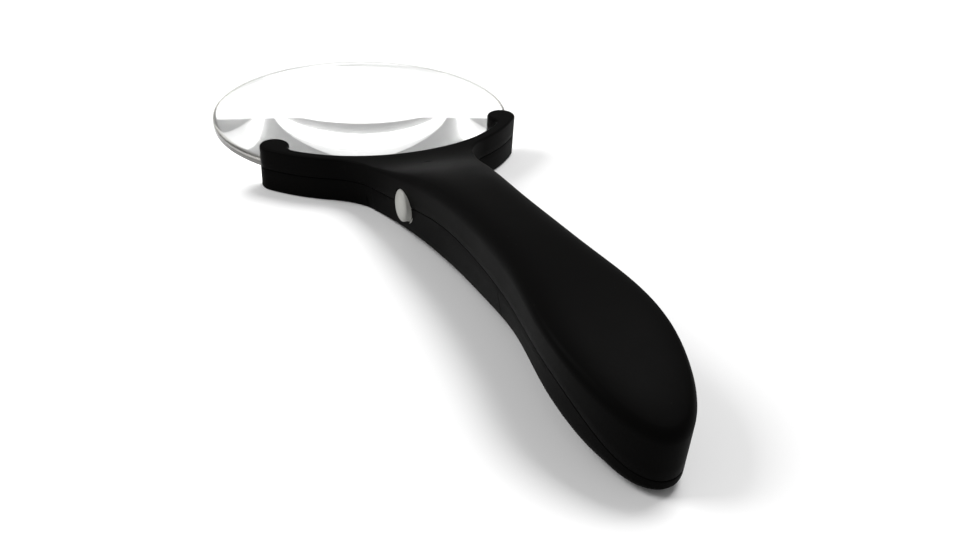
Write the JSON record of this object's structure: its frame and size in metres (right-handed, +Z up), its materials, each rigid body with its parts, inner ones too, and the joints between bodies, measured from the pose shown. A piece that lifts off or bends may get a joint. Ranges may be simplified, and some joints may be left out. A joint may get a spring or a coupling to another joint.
{
  "type": "lighted hand magnifier",
  "caption": "Rimless hand magnifier: round clear lens held at its edge by a two-pronged fork on an arched handle with a side push button, underside light and a rear battery compartment.",
  "frame": {"origin": "middle of the footprint at table height", "axes": "+X across the handle towards its right side, +Y along the handle towards the lens, +Z up"},
  "size_m": [0.11, 0.2832, 0.0319],
  "materials": {
    "soft_touch_black": "satin soft-touch paint over black ABS",
    "clear_lens": "polished clear acrylic",
    "gasket_black": "matte",
    "button_grey": "satin",
    "switch_white": "satin",
    "switch_black": "moulded",
    "circuit_board": "solder resist",
    "resistor_blue": "lacquer",
    "led_clear": "clear epoxy",
    "inner_black": "moulded, unpainted",
    "cell_wrap": "plain shrink sleeve",
    "nickel": "nickel-plated",
    "screw_steel": "zinc-plated",
    "lead_red": "satin insulation",
    "lead_black": "satin insulation",
    "lead_white": "satin insulation"
  },
  "bodies": {
    "root": {"lens": "clear_lens", "lens_gasket": "gasket_black", "upper_shell": "soft_touch_black", "front_lower_shell": "soft_touch_black", "switch_body": "switch_black", "switch_board": "circuit_board", "led_resistor": "resistor_blue", "leds": "led_clear", "led_board": "circuit_board", "battery_tray": "inner_black", "cell_left": "cell_wrap", "cell_right": "cell_wrap", "front_plate_contact": "nickel", "front_spring_contact": "nickel", "front_spring": "nickel", "rear_link_plate": "nickel", "rear_spring": "nickel", "fork_screws": "screw_steel", "neck_screw": "screw_steel", "handle_screw": "screw_steel", "tray_screw": "screw_steel", "positive_lead": "lead_red", "negative_lead": "lead_black", "led_lead": "lead_white"},
    "button": {"switch_button": "button_grey", "switch_plunger": "switch_white"},
    "cover": {"battery_cover": "soft_touch_black"}
  },
  "joints": [
    {"name": "button_press", "type": "slide", "parent": "root", "child": "button", "axis": [1, 0, 0], "range_m": [0, 0.0009], "stiffness_N_per_m": 900, "springref_m": -0.0006},
    {"name": "cover_lift_off", "type": "slide", "parent": "root", "child": "cover", "axis": [0, -0.2873, -0.9578], "range_m": [0, 0.03]}
  ]
}
